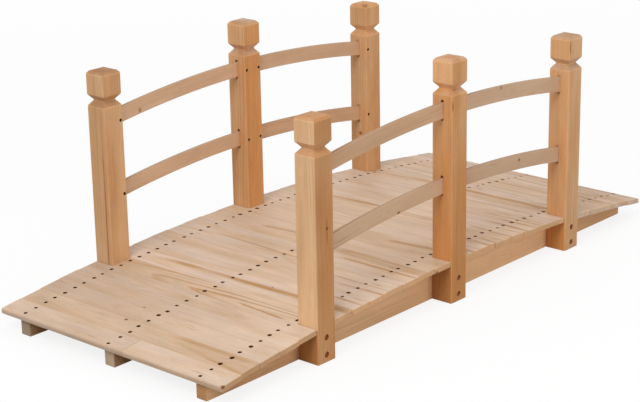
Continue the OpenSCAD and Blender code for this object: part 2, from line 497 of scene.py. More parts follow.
def to_object(shape, name, *materials):
    mesh = bpy.data.meshes.new(name)
    shape.to_mesh(mesh)
    shape.free()
    for material in materials:
        mesh.materials.append(material)
    piece = bpy.data.objects.new(name, mesh)
    bpy.context.scene.collection.objects.link(piece)
    return piece


def bore(piece, cutter, inside):
    """Cuts a cutter's solids out of a piece; inside is the material of the cut faces."""
    knife = to_object(cutter, piece.name + "_cutter", inside)
    change = piece.modifiers.new("bore", "BOOLEAN")
    change.operation = "DIFFERENCE"
    change.solver = "EXACT"
    change.material_mode = "TRANSFER"
    change.object = knife
    graph = bpy.context.evaluated_depsgraph_get()
    cut = bpy.data.meshes.new_from_object(piece.evaluated_get(graph))
    piece.modifiers.clear()
    old = piece.data
    piece.data = cut
    cut.name = old.name + "_mesh"
    bpy.data.meshes.remove(old)
    bpy.data.meshes.remove(knife.data)


STRIP_WIDTH = 0.0014
FAR_AWAY = 100.0
END_FACING = (0.3, 0.9)
TREE_LENGTH = (0.0, 40.0)
JOINT_LINE = 0.0012
JOINT_SHIFT = 7.0
JOINT_TONE = 1.05


class Board:
    """How a board was cut from the tree and what shows on it."""

    def __init__(self, chance, origin, axes, pith, tilt, tone, **marks):
        """Marks take the place of the plain values below."""
        self.origin, self.axes, self.pith, self.tilt = origin, axes, pith, tilt
        self.shift = chance.uniform(*TREE_LENGTH)
        self.tone = self.side_tone = tone
        self.change = (0.0, 0.0, 0.0)
        self.patches = 0.0
        self.end_share, self.end_shade, self.end_patches = 1.0, 1.0, 0.0
        # lightness factor of faces that look down the board: painted light
        self.underside_painted_light = 1.0
        self.zones = ()
        self.coarse = 1.0
        self.knot = self.flaw = self.streak = self.band = self.joint = None
        for name, value in marks.items():
            setattr(self, name, value)

    def local(self, point):
        offset = point - self.origin
        return [offset.dot(axis) for axis in self.axes]

    def grain(self, along, across, rise, shift):
        return [
            along + self.shift + shift,
            (across + self.pith[0] + self.tilt[0] * along) * self.coarse,
            (rise + self.pith[1] + self.tilt[1] * along) * self.coarse,
        ]

    def tone_of(self, normal):
        """The tone of a face: side_tone where it looks across the board, tone elsewhere."""
        share = normal.dot(self.axes[1]) ** 2
        return [main + (side - main) * share for main, side in zip(self.tone, self.side_tone)]

    def tone_at(self, tone, along, normal):
        """A face's tone at a place along the board."""
        changed = [value + along * change for value, change in zip(tone, self.change)]
        lightness, warmth, contrast = changed
        # zones paint shade and light: darker joist sides under the deck's ends, lighter ones between
        # the middle and far posts, and darker feet below the deck; on some caps they only change the
        # tone
        for axis, start, end, shade, added_warmth in self.zones:
            if start <= along < end:
                share = normal.dot(self.axes[axis]) ** 2
                lightness *= 1.0 + (shade - 1.0) * share
                warmth += added_warmth * share
        return [lightness, warmth, contrast]


def eased(value, low, high):
    share = min(max((value - low) / (high - low), 0.0), 1.0)
    return share * share * (3.0 - 2.0 * share)


def from_spot(point, spot):
    """How far a point lies from a spot's centre, counted in the spot's radii."""
    if spot is None:
        return [FAR_AWAY] * 3
    centre, radii = spot
    return [part / radius for part, radius in zip(point - Vector(centre), radii)]


def from_streak(along, across, streak):
    """Place across and along a streak, one at its edges and ends, and how strong it is."""
    if streak is None:
        return [FAR_AWAY, FAR_AWAY, 0.0]
    middle, half_width, lean, start, end, share = streak
    place_across = (across - middle - lean * along) / half_width
    place_along = (2 * along - start - end) / (end - start)
    return [place_across, place_along, share]


def paint_board(piece, board):
    """Stores each corner's place in the tree, its tone and marks, and which faces are ends or edges."""
    mesh = piece.data
    names = ("grain", "board", "face", "knot", "flaw", "streak", "band", "joint")
    layers = {name: [] for name in names}
    for polygon in mesh.polygons:
        corners = [mesh.vertices[index].co for index in polygon.vertices]
        longest = max((a - b).length for a, b in zip(corners, corners[1:] + corners[:1]))
        strip = 1.0 if polygon.area / longest < STRIP_WIDTH else 0.0
        end = eased(abs(polygon.normal.dot(board.axes[0])), *END_FACING)
        under = eased(-polygon.normal.dot(board.axes[0]), *END_FACING)
        beyond = board.joint is not None and board.local(polygon.center)[0] < board.joint
        shift = JOINT_SHIFT if beyond else 0.0
        tone = board.tone_of(polygon.normal)
        tone[0] *= (JOINT_TONE if beyond else 1.0) * (1.0 + (board.end_shade - 1.0) * end)
        # faces that look down the board are made lighter here as painted light
        tone[0] *= 1.0 + (board.underside_painted_light - 1.0) * under
        for corner in corners:
            along, across, rise = board.local(corner)
            joint_place = FAR_AWAY if board.joint is None else (along - board.joint) / JOINT_LINE
            layers["grain"] += board.grain(along, across, rise, shift)
            layers["board"] += board.tone_at(tone, along, polygon.normal)
            layers["face"] += [end * board.end_share, strip, board.patches + end * board.end_patches]
            layers["knot"] += from_spot(corner, board.knot)
            layers["flaw"] += from_spot(corner, board.flaw)
            layers["streak"] += from_streak(along, across, board.streak)
            layers["band"] += from_streak(along, across, board.band)
            layers["joint"] += [joint_place, 0.0, 0.0]
    for name, values in layers.items():
        layer = mesh.attributes.new(name, "FLOAT_VECTOR", "CORNER")
        layer.data.foreach_set("vector", values)


def place(piece, slot, *nodes):
    """Puts a piece in the frame, in place of its CAD nodes."""
    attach(piece, "root")
    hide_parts(*nodes)


# Deck


def plank_axes(from_crown):
    turn = from_crown * PLANK_ANGLE
    across = Vector((math.cos(turn), 0, -math.sin(turn)))
    rise = Vector((math.sin(turn), 0, math.cos(turn)))
    return Vector((0, 1, 0)), across, rise


def plank_origin(from_crown):
    """Middle of a plank's underside."""
    return Vector((0, 0, DECK_CENTRE)) + plank_axes(from_crown)[2] * JOIST_RADIUS


def speck(x, y, z, radius):
    """A round spot."""
    return (x, y, z), (radius,) * 3


DASH_HALF_WIDTH = 0.0014
DASH_HALF_DEPTH = 0.004


def dash(x, y, z, half_length, half_width=DASH_HALF_WIDTH):
    """A short dark line along a plank."""
    return (x, y, z), (half_width, half_length, DASH_HALF_DEPTH)


# change of the tone in a metre to the left
PALER_TO_RIGHT = (-0.26, 1.6, 0.0)
LIGHTER_TO_RIGHT = (-0.2, 0.8, 0.0)
FAR_PLANKS_SHADE = 0.94
# painted shade and added warmth of the planks' long edges in the seams, and shade and added warmth of
# the first plank's nose
SEAM_PAINTED_SHADE = (0.92, 0.0)
NOSE_LOOK = (0.98, 0.8)
# the sawn ends of the near and far planks
DARK_ENDS = 0.86
PALE_ENDS = 0.0
PALE_ENDS_SHADE = 1.1

# what shows on single planks in the photograph, as values of their boards
# streaks and bands are given as middle, half width, lean, start, end and share
FIGURES = {
    1: dict(
        tone=(0.955, 0.2, 0.15), patches=0.4, joint=-0.048, knot=speck(-0.747, -0.332, 0.049, 0.0052),
    ),
    2: dict(
        tone=(0.95, 0.6, 0.25), knot=speck(-0.646, 0.048, 0.061, 0.0038), change=(-0.1, 0.0, 0.0),
        streak=(0.020, 0.008, 0.0, -0.34, -0.08, 0.5), band=(0.02, 0.007, 0.14, -0.36, -0.1, 0.55),
    ),
    3: dict(
        tone=(0.925, 0.5, 0.25), patches=0.3, change=PALER_TO_RIGHT,
        knot=speck(-0.584, 0.056, 0.0684, 0.004),
    ),
    4: dict(tone=(0.94, 0.45, 0.25), patches=0.35, change=PALER_TO_RIGHT),
    5: dict(tone=(0.955, 0.4, 0.35), patches=0.35, change=PALER_TO_RIGHT),
    6: dict(
        tone=(1.01, 0.3, 1.7), pith=(0.019, 0.0114), tilt=(0.0, 0.055), coarse=0.6,
        change=PALER_TO_RIGHT,
        streak=(0.036, 0.006, -0.1, 0.1, 0.29, 0.4), band=(-0.011, 0.0045, 0.063, -0.25, -0.09, 0.9),
    ),
    7: dict(
        tone=(1.03, 0.15, 0.5), patches=0.7, knot=speck(-0.3632, -0.1089, 0.0872, 0.0028),
        streak=(0.0145, 0.0125, -0.01, -0.42, 0.26, 1.0), flaw=dash(-0.368, -0.303, 0.087, 0.02),
    ),
    8: dict(
        tone=(1.01, 0.3, 0.3), patches=0.5, change=LIGHTER_TO_RIGHT,
        flaw=dash(-0.313, -0.303, 0.0903, 0.024),
        streak=(0.014, 0.005, 0.03, -0.36, -0.24, 1.0), band=(-0.012, 0.004, 0.05, -0.36, -0.26, 1.0),
    ),
    9: dict(
        tone=(1.0, 0.4, 0.3), patches=0.4, change=LIGHTER_TO_RIGHT,
        flaw=dash(-0.262, -0.29, 0.0929, 0.02),
        streak=(0.005, 0.006, -0.03, -0.36, -0.2, 1.0),
    ),
    10: dict(
        tone=(1.0, 0.35, 0.6), patches=0.5, change=LIGHTER_TO_RIGHT,
        flaw=dash(-0.229, -0.285, 0.0944, 0.022),
        streak=(-0.013, 0.005, 0.02, -0.36, -0.16, 0.9), band=(0.017, 0.006, 0.04, -0.1, 0.25, 0.6),
    ),
    11: dict(
        tone=(1.0, 0.4, 0.4), patches=0.6, change=LIGHTER_TO_RIGHT,
        flaw=dash(-0.16, -0.27, 0.0967, 0.02),
        streak=(0.017, 0.006, 0.0, -0.36, -0.1, 0.9),
    ),
    12: dict(
        tone=(0.99, 0.45, 0.4), streak=(0.036, 0.008, -0.14, 0.05, 0.18, 0.7), patches=0.3,
        band=(0.0, 0.02, 0.03, -0.36, -0.05, 0.7), flaw=dash(-0.1345, -0.255, 0.0974, 0.016),
    ),
    13: dict(tone=(0.98, 0.5, 0.4), patches=0.2, knot=speck(-0.0776, -0.332, 0.088, 0.0036)),
    14: dict(
        tone=(0.98, 0.4, 0.3), flaw=dash(-0.024, -0.22, 0.099, 0.007),
        streak=(-0.015, 0.011, -0.12, -0.3, -0.12, 0.9),
    ),
    15: dict(
        tone=(1.0, 0.35, 0.5), patches=0.4, flaw=dash(0.066, -0.275, 0.0985, 0.03),
        streak=(0.012, 0.006, 0.03, -0.36, -0.2, 1.0), band=(-0.014, 0.004, -0.05, -0.36, -0.24, 1.0),
    ),
    16: dict(
        tone=(0.98, 0.4, 0.6), patches=0.3, flaw=dash(0.104, -0.29, 0.0978, 0.028),
        streak=(0.018, 0.005, 0.02, -0.36, -0.18, 1.0), band=(0.004, 0.004, 0.0, -0.36, -0.25, 1.0),
    ),
    17: dict(
        tone=(0.99, 0.45, 0.5), flaw=dash(0.176, -0.097, 0.0962, 0.026),
        streak=(0.03, 0.009, -0.1, 0.0, 0.24, 0.9), band=(0.05, 0.005, 0.24, -0.34, -0.27, 0.9),
    ),
    18: dict(
        tone=(1.0, 0.3, 0.5), patches=0.5, flaw=dash(0.198, -0.293, 0.0955, 0.03),
        streak=(-0.008, 0.006, 0.04, -0.36, -0.2, 1.0), band=(0.016, 0.004, 0.0, -0.36, -0.26, 1.0),
    ),
    19: dict(
        tone=(0.99, 0.35, 0.6), patches=0.4, flaw=dash(0.27, -0.28, 0.0925, 0.034),
        streak=(0.016, 0.005, -0.02, -0.36, -0.22, 1.0), band=(0.0, 0.0045, 0.05, -0.36, -0.2, 0.9),
    ),
    20: dict(
        tone=(0.98, 0.4, 0.7), patches=0.3, flaw=dash(0.322, -0.27, 0.0897, 0.03),
        streak=(-0.012, 0.006, 0.0, -0.36, -0.15, 1.0), band=(0.013, 0.004, 0.03, -0.36, -0.25, 1.0),
    ),
    22: dict(
        tone=(0.96, 0.5, 0.7), streak=(0.013, 0.014, 0.0, -0.4, 0.2, 1.0),
        flaw=dash(0.447, -0.235, 0.0805, 0.03, 0.004),
    ),
    25: dict(tone=(0.93, 0.5, 0.9), streak=(0.06, 0.009, 0.16, -0.32, -0.2, 1.0)),
}


# ranges for the other planks: lightness, warmth and ring contrast
CHANCE_TONE = ((0.95, 1.04), (0.2, 0.8), (0.3, 1.0))
# start, length, middle, half width, lean and share
CHANCE_STREAK = ((-0.35, 0.1), (0.15, 0.5), (-0.02, 0.02), (0.004, 0.01), (-0.04, 0.04), (0.3, 0.8))
# middle, half width, start, length, lean and share
CHANCE_BAND = ((-0.02, 0.02), (0.003, 0.006), (-0.34, -0.28), (0.08, 0.25), (-0.06, 0.06), (0.4, 0.9))
# place across and along, and half length
CHANCE_DASH = ((-0.02, 0.02), (-0.32, -0.15), (0.006, 0.02))
CHANCE_PATCHES = (0.0, 0.6)
PLANK_PITH = ((-0.03, 0.03), (0.025, 0.07))
PLANK_TILT = ((-0.02, 0.02), (-0.05, 0.05))


def chance_figure(chance, origin):
    """A plank of its own tone, with a long streak, and a band and a dash near its right end."""
    tone = drawn(chance, CHANCE_TONE)
    start, length, middle, half_width, lean, share = drawn(chance, CHANCE_STREAK)
    streak = (middle, half_width, lean, start, start + length, share)
    middle, half_width, start, length, lean, share = drawn(chance, CHANCE_BAND)
    band = (middle, half_width, lean, start, start + length, share)
    across, along, half_length = drawn(chance, CHANCE_DASH)
    flaw = dash(origin.x + across, along, origin.z + PLANK_THICKNESS, half_length)
    patches = chance.uniform(*CHANCE_PATCHES)
    if origin.x > POST_X:
        tone = (tone[0] * FAR_PLANKS_SHADE, *tone[1:])
    return dict(tone=tone, patches=patches, streak=streak, band=band, flaw=flaw)


def plank_board(number, from_crown, chance, origin, axes):
    cut = {"pith": drawn(chance, PLANK_PITH), "tilt": drawn(chance, PLANK_TILT)}
    figure = FIGURES.get(number) or chance_figure(chance, origin)
    board = Board(chance, origin, axes, **(cut | figure))
    if from_crown > POST_STEP:
        board.end_share, board.end_shade = PALE_ENDS, PALE_ENDS_SHADE
    if from_crown < -POST_STEP:
        board.end_shade = DARK_ENDS
    # the long sides in the seams get painted shade, the first plank's nose a warmer tone
    shade, warmth = NOSE_LOOK if number == 1 else SEAM_PAINTED_SHADE
    board.side_tone = (board.tone[0] * shade, board.tone[1] + warmth, board.tone[2])
    return board


def plank_shape(board, from_crown, low_y, high_y, top):
    """A plank with eased edges, and with a round nose where it is the first or last."""
    start, stop = -PLANK_WIDTH / 2, PLANK_WIDTH / 2
    left = right = PLANK_EDGE
    if from_crown == -LAST_PLACE:
        start, left = start + NOSE_TRIM, NOSE_RADIUS
    if from_crown == LAST_PLACE:
        stop, right = stop - NOSE_TRIM, NOSE_RADIUS
    radii = (EASED_EDGE, EASED_EDGE, right, left)
    whole = rounded_outline((start, 0), (stop, top), radii)
    small = rounded_outline(
        (start + EASED_EDGE, EASED_EDGE), (stop - EASED_EDGE, top - EASED_EDGE), radii
    )
    stations = [
        (low_y, small), (low_y + EASED_EDGE, whole), (high_y - EASED_EDGE, whole), (high_y, small)
    ]
    if board.joint is not None:
        stations.insert(2, (board.joint, whole))
    along, across, rise = board.axes
    shape = bmesh.new()
    loft(shape, [
        [board.origin + along * y + across * u + rise * w for u, w in outline]
        for y, outline in stations
    ])
    return shape


def plank(number):
    from_crown = number - 1 - LAST_PLACE
    node = f"deck_plank_{number:02d}"
    chance = luck_of(node)
    low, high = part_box(node)
    axes = plank_axes(from_crown)
    along, across, rise = axes
    origin = plank_origin(from_crown)
    top = PLANK_THICKNESS - chance.uniform(0, PLANING_LOSS)
    board = plank_board(number, from_crown, chance, origin, axes)
    shape = plank_shape(board, from_crown, low.y, high.y, top)
    piece = to_object(shape, f"plank_{number:02d}", DECK_WOOD)
    holes = bmesh.new()
    surface = origin + rise * top
    for line in JOIST_LINES.values():
        for side in (-DECK_SCREW_SPREAD, DECK_SCREW_SPREAD):
            y = line + chance.uniform(-DECK_SCREW_WANDER, DECK_SCREW_WANDER)
            u = side + chance.uniform(-DECK_SCREW_WANDER, DECK_SCREW_WANDER)
            radius = chance.uniform(*DECK_SCREW_RADII)
            sink = chance.uniform(*DECK_SCREW_SINKS)
            sink_screw(holes, deck_screws, surface + along * y + across * u, axes, radius, sink)
    # the screw holes' walls take the painted shade of the dark bore
    bore(piece, holes, PAINTED_SHADE_BORE)
    paint_board(piece, board)
    place(piece, "deck_wood", node)


# Joists


def deck_height(x):
    """Height of the joists' arched tops."""
    return DECK_CENTRE + math.sqrt(JOIST_RADIUS ** 2 - x * x)


def spread(start, end, steps):
    return [start + (end - start) * step / steps for step in range(steps + 1)]


def arched_bar(low_x, high_x, low_y, high_y, bottom, top, steps):
    """A bar along X between two heights that change along it, with eased edges."""
    shape = bmesh.new()
    inner = spread(low_x + EASED_EDGE, high_x - EASED_EDGE, steps)
    stations = [(low_x, EASED_EDGE)] + [(x, 0.0) for x in inner] + [(high_x, EASED_EDGE)]
    rings = []
    for x, inset in stations:
        low, high = (low_y + inset, bottom(x) + inset), (high_y - inset, top(x) - inset)
        outline = rounded_outline(low, high, (EASED_EDGE,) * 4, BAR_CORNER_STEPS)
        rings.append([Vector((x, y, z)) for y, z in outline])
    loft(shape, rings)
    return shape


# lightness, warmth and ring contrast, then the wood, and the shade of the sawn ends
JOIST_LOOKS = {
    "joist_left": ((0.82, 0.8, 0.8), INNER_JOIST_WOOD, 0.74),
    "joist_middle": ((0.84, 0.7, 0.8), INNER_JOIST_WOOD, 1.0),
    "joist_right": ((1.05, 0.66, 1.0), JOIST_WOOD, 0.96),
}
# stretches along a joist's sides, with the axis that the sides face, their painted shade or painted
# light and added warmth: darker under the deck's overhang towards the ends, lighter between the middle
# and far posts
JOIST_TIP = 0.64
JOIST_PAINTED_SHADE_AND_LIGHT = (
    (1, -DECK_LENGTH, -JOIST_TIP, 0.84, 0.5),
    (1, -JOIST_TIP, -POST_X, 0.94, 0.6),
    (1, 0.0, POST_X, 1.08, -0.25),
    (1, POST_X, DECK_LENGTH, 0.95, 0.6),
)
JOIST_STEPS = 40
JOIST_PITH = ((0.03, 0.06), (-0.03, 0.03))
JOIST_TILT = ((-0.01, 0.01), (-0.01, 0.01))


def joist(name):
    chance = luck_of(name)
    low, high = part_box(name)
    shape = arched_bar(low.x, high.x, low.y, high.y, lambda x: 0.0, deck_height, JOIST_STEPS)
    tone, joist_wood, end_shade = JOIST_LOOKS[name]
    piece = to_object(shape, "arched_" + name, joist_wood)
    origin = Vector((0, JOIST_LINES[name], CROWN_HEIGHT / 2))
    axes = (Vector((1, 0, 0)), Vector((0, 1, 0)), Vector((0, 0, 1)))
    pith = drawn(chance, JOIST_PITH)
    tilt = drawn(chance, JOIST_TILT)
    board = Board(chance, origin, axes, pith, tilt, tone, end_shade=end_shade, zones=JOIST_PAINTED_SHADE_AND_LIGHT)
    paint_board(piece, board)
    place(piece, "joist_wood", name)


# Slats


def slat_edge(top, inset, x):
    """Height of a slat's curved edge, the top one with no inset."""
    return top - SLAT_RADIUS + math.sqrt((SLAT_RADIUS - inset) ** 2 - x * x)


def slat_middle(top, x):
    return (slat_edge(top, 0.0, x) + slat_edge(top, SLAT_HEIGHT, x)) / 2


SLAT_STEPS = 36
SLAT_PITH = ((0.02, 0.05), (-0.05, 0.05))
SLAT_TILT = ((-0.01, 0.01), (-0.02, 0.02))
# lightness, warmth and ring contrast of the slats' sides
SLAT_LOOKS = {
    "upper_slat_near_left": (0.98, 0.4, 0.8),
    "upper_slat_far_left": (0.93, 0.4, 0.7),
    "lower_slat_near_left": (0.95, 0.45, 0.8),
    "lower_slat_far_left": (0.95, 1.05, 0.8),
    "upper_slat_near_right": (0.9, 0.82, 0.9),
    "upper_slat_far_right": (0.88, 0.35, 0.7),
    "lower_slat_near_right": (0.885, 0.6, 1.6),
    "lower_slat_far_right": (0.845, 0.55, 0.7),
}
SLAT_EDGE_SHADE = 0.68
SLAT_KNOTS = {
    "lower_slat_near_right": speck(-0.182, -0.310, 0.247, 0.0042),
    "lower_slat_far_right": speck(0.2565, -0.310, 0.262, 0.0032),
}
SLAT_FLAWS = {
    "upper_slat_near_left": ((-0.345, 0.302, 0.409), (0.005, 0.005, 0.007)),
    "upper_slat_far_right": ((0.1825, -0.310, 0.446), (0.006, 0.005, 0.007)),
}


def slat(node):
    chance = luck_of(node)
    top = UPPER_SLAT_TOP if node.startswith("upper") else LOWER_SLAT_TOP
    low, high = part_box(node)
    shape = arched_bar(
        low.x, high.x, low.y, high.y,
        lambda x: slat_edge(top, SLAT_HEIGHT, x), lambda x: slat_edge(top, 0.0, x), SLAT_STEPS,
    )
    piece = to_object(shape, "curved_" + node, SLAT_WOOD)
    climb = slat_edge(top, 0.0, high.x) - slat_edge(top, 0.0, low.x)
    along = Vector((high.x - low.x, 0, climb)).normalized()
    across = Vector((0, 1, 0))
    axes = (along, across, along.cross(across))
    pith = drawn(chance, SLAT_PITH)
    tilt = drawn(chance, SLAT_TILT)
    side_tone = SLAT_LOOKS[node]
    tone = (side_tone[0] * SLAT_EDGE_SHADE, *side_tone[1:])
    marks = {"knot": SLAT_KNOTS.get(node), "flaw": SLAT_FLAWS.get(node)}
    middle = (low + high) / 2
    board = Board(chance, middle, axes, pith, tilt, tone, side_tone=side_tone, **marks)
    paint_board(piece, board)
    place(piece, "slat_wood", node)


# Posts


CAP_CROWN = 0.002
GROOVE_SOFTNESS = 0.0014
CAP_SOFTNESS = 0.0018
# height up to which the feet's faces along the bridge carry painted shade below the deck's underside,
# and the half height of the rings that bound it
FOOT_TOP = 0.075
FOOT_BLEND = 0.004


def post_profile(height):
    """Half width and height up a post's side, from the foot to the top of the cap."""
    neck = POST_HALF - GROOVE_DEPTH
    groove = height - CAP_HEIGHT - GROOVE_HEIGHT / 2
    soft = GROOVE_SOFTNESS
    corners = [
        (POST_HALF - EASED_EDGE, 0.0, 0.0),
        (POST_HALF, EASED_EDGE, EASED_EDGE / 3),
        # rings where the feet's painted shade starts
        (POST_HALF, FOOT_TOP - FOOT_BLEND, 0.0),
        (POST_HALF, FOOT_TOP + FOOT_BLEND, 0.0),
        (POST_HALF, groove - GROOVE_HEIGHT / 2, soft),
        (neck, groove - GROOVE_FLAT / 2, GROOVE_FLAT / 3),
        (neck, groove + GROOVE_FLAT / 2, GROOVE_FLAT / 3),
        (POST_HALF, groove + GROOVE_HEIGHT / 2, soft),
        (POST_HALF, height - CAP_BEVEL_HEIGHT, CAP_SOFTNESS),
        (POST_HALF - CAP_BEVEL_WIDTH, height - CAP_CROWN, CAP_SOFTNESS),
        (POST_HALF / 4, height, 0.0),
    ]
    return softened(corners)


# what shows on the posts, as values of their boards: side_tone is for the faces along the bridge,
# change is for a metre upwards, and the values of the end are for the top of the cap
POST_FIGURES = {
    "post_near_left": dict(
        tone=(0.93, 0.36, 1.2), side_tone=(0.86, 0.14, 1.0), end_shade=0.64,
        flaw=((-0.4718, 0.291, 0.2), (0.004, 0.0032, 0.26)),
    ),
    "post_near_right": dict(
        tone=(0.83, 0.95, 1.0), side_tone=(0.99, -0.1, 1.2), change=(0.0, 0.8, 0.0),
        knot=speck(-0.438, -0.333, 0.287, 0.0036),
        flaw=((-0.438, -0.333, 0.283), (0.0028, 0.004, 0.035)),
    ),
    "post_middle_left": dict(
        tone=(1.03, 0.94, 1.0), side_tone=(0.95, 0.44, 1.4), change=(0.1, -0.4, 0.0),
        end_share=0.5, end_shade=0.7, end_patches=0.8,
    ),
    "post_middle_right": dict(
        tone=(0.93, 1.22, 1.0), side_tone=(1.07, 1.26, 1.6), change=(0.08, -1.6, 0.0),
        end_share=0.5, end_shade=0.9, end_patches=0.7,
        flaw=((-0.0242, -0.333, 0.4505), (0.0035, 0.004, 0.014)),
    ),
    "post_far_left": dict(
        tone=(0.9, 0.64, 1.2), side_tone=(0.9, 0.63, 1.4), change=(0.1, -0.4, 0.0),
        knot=speck(0.4178, 0.3018, 0.184, 0.004),
        flaw=((0.424, 0.287, 0.519), (0.013, 0.013, 0.005)),
    ),
    "post_far_right": dict(
        tone=(0.91, 0.33, 1.4), side_tone=(1.05, 0.72, 1.8), change=(0.1, -0.4, 0.0),
        end_share=0.5, end_shade=0.72, end_patches=0.7,
        flaw=((0.422, -0.333, 0.498), (0.0035, 0.004, 0.022)),
    ),
}
# painted shade and added warmth of the feet's faces along the bridge, darker where the deck's underside
# hides them and, on the far feet, lighter as painted light; and the shade and added warmth of some
# caps' faces by their axis
FOOT_PAINTED_SHADE_AND_LIGHT = {"near": (0.88, 2.4), "middle": (0.86, 0.4), "far": (1.18, 0.6)}
CAP_ZONE = CAP_HEIGHT + GROOVE_HEIGHT / 2
# painted light on the caps' downward-facing groove slopes, as a lightness factor
CAP_UNDERSIDE_PAINTED_LIGHT = 1.5
CAP_LOOKS = {
    "post_near_left": ((1, 1.03, -0.2), (2, 0.93, 0.4)),
    "post_near_right": ((1, 1.05, 0.1), (2, 0.94, 0.1)),
    "post_middle_left": ((1, 0.98, -0.2), (2, 0.98, -0.2)),
    "post_middle_right": ((1, 1.06, -0.5),),
}
POST_PITH = (0.03, 0.055)
POST_TILT = ((-0.02, 0.02), (-0.02, 0.02))


def post_shape(x, y, height):
    rings = []
    for half, z in post_profile(height):
        radius = POST_EDGE if half > POST_HALF - EASED_EDGE else POST_EDGE / 2
        outline = rounded_outline((x - half, y - half), (x + half, y + half), (radius,) * 4)
        rings.append([Vector((u, v, z)) for u, v in outline])
    shape = bmesh.new()
    loft(shape, rings)
    return shape


def cut_post(piece, x, y):
    """Cuts a post's mortises and screw holes, and notes the screws."""
    mortises, shallows, holes, counterbores = [bmesh.new() for cutter in range(4)]
    outward = Vector((0, 1 if y > 0 else -1, 0))
    up = Vector((0, 0, 1))
    last_x = POST_X + POST_HALF
    directions = [direction for direction in (-1, 1) if abs(x + direction * POST_X) < last_x]
    top_drop = MORTISE_WIDTH if x > POST_HALF else MORTISE_TOP_DROP
    for direction in directions:
        for top in (UPPER_SLAT_TOP, LOWER_SLAT_TOP):
            mortise(mortises, x, y, direction, top, MORTISE_DEPTH, MORTISE_WIDTH, top_drop)
            mortise(shallows, x, y, direction, top, SHALLOW_DEPTH, 0.0, 0.0)
            screw_x = x + direction * (POST_HALF - SLAT_SCREW_INSET)
            face = Vector((screw_x, outward.y * INNER_FACE, slat_middle(top, screw_x)))
            axes = (up, up.cross(outward), -outward)
            sink_screw(holes, slat_screws, face, axes, SLAT_SCREW_RADIUS, SLAT_SCREW_SINK)
    for z in FOOT_SCREW_HEIGHTS:
        face = Vector((x, y, z)) + outward * POST_HALF
        axes = (up, outward.cross(up), outward)
        drill(counterbores, face, axes, COUNTERBORE_RADIUS, COUNTERBORE_DEPTH)
        thickness = COUNTERBORE_DEPTH - FOOT_SCREW_SINK
        foot_screws.append((face, axes, FOOT_SCREW_RADIUS, FOOT_SCREW_SINK, thickness))
    bore(piece, mortises, BORED_WOOD)
    bore(piece, shallows, POST_WOOD)
    # the slat screws' holes take the painted shade of the dark bore
    bore(piece, holes, PAINTED_SHADE_BORE)
    bore(piece, counterbores, BORED_WOOD)


def post_board(node, x, y, height):
    chance = luck_of(node)
    axes = (Vector((0, 0, 1)), Vector((1, 0, 0)), Vector((0, 1, 0)))
    pith = [chance.choice((-1, 1)) * chance.uniform(*POST_PITH) for axis in "XY"]
    tilt = drawn(chance, POST_TILT)
    board = Board(chance, Vector((x, y, height / 2)), axes, pith, tilt, **POST_FIGURES[node])
    board.underside_painted_light = CAP_UNDERSIDE_PAINTED_LIGHT
    # painted shade on the feet's faces along the bridge below the deck, and painted light on the far
    # feet
    board.zones = [(1, -height, FOOT_TOP - height / 2, *FOOT_PAINTED_SHADE_AND_LIGHT[node.split("_")[1]])]
    for axis, shade, added_warmth in CAP_LOOKS.get(node, ()):
        board.zones.append((axis, height / 2 - CAP_ZONE, height, shade, added_warmth))
    return board


def post(node):
    low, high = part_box(node)
    x, y, height = (low.x + high.x) / 2, (low.y + high.y) / 2, high.z
    piece = to_object(post_shape(x, y, height), "grooved_" + node, POST_WOOD)
    cut_post(piece, x, y)
    paint_board(piece, post_board(node, x, y, height))
    place(piece, "post_wood", node)


def drill(shape, face, axes, radius, depth):
    """Adds the cutter of a screw's hole, with a flared rim."""
    u_axis, v_axis, outward = axes
    rims = (
        (-depth, radius),
        (-HOLE_FLARE, radius),
        (0.0, radius + HOLE_FLARE / 2),
        (OVERCUT, radius + HOLE_FLARE / 2),
    )
    loft(shape, [
        [face + u_axis * a + v_axis * b + outward * rise for a, b in circle(rim)] for rise, rim in rims
    ])


def sink_screw(holes, screws, face, axes, radius, sink):
    """Drills a screw's hole and notes its head."""
    drill(holes, face, axes, radius + HOLE_CLEARANCE, sink + SCREW_THICKNESS)
    screws.append((face, axes, radius, sink, SCREW_THICKNESS))


def mortise(shape, x, y, direction, top, depth, lift, drop):
    """Adds the round-ended cutter of a slat's mortise, with its ends lifted and dropped."""
    face = x + direction * POST_HALF
    middle_x = face - direction * MORTISE_DEPTH / 2
    middle = slat_middle(top, middle_x)
    slope = math.asin((POST_X - POST_HALF) / SLAT_RADIUS)
    straight = SLAT_HEIGHT / math.cos(slope) + MORTISE_DEPTH * math.tan(slope) + 2 * MORTISE_ROOM
    reach = (straight + MORTISE_WIDTH) / 2
    radius = MORTISE_WIDTH / 2
    low, high = (y - radius, middle - reach + lift), (y + radius, middle + reach - drop)
    points = distinct(rounded_outline(low, high, (radius,) * 4, MORTISE_END_STEPS))
    ends = (face - direction * depth, face + direction * OVERCUT)
    loft(shape, [[Vector((at, u, v)) for u, v in points] for at in ends])


# Screws


# shares of a screw head's radius
RECESS_ARM = 0.62
RECESS_WIDTH = 0.17
HEAD_BEVEL = 0.16
# how much smaller the recess is at its floor
RECESS_TAPER = 0.8


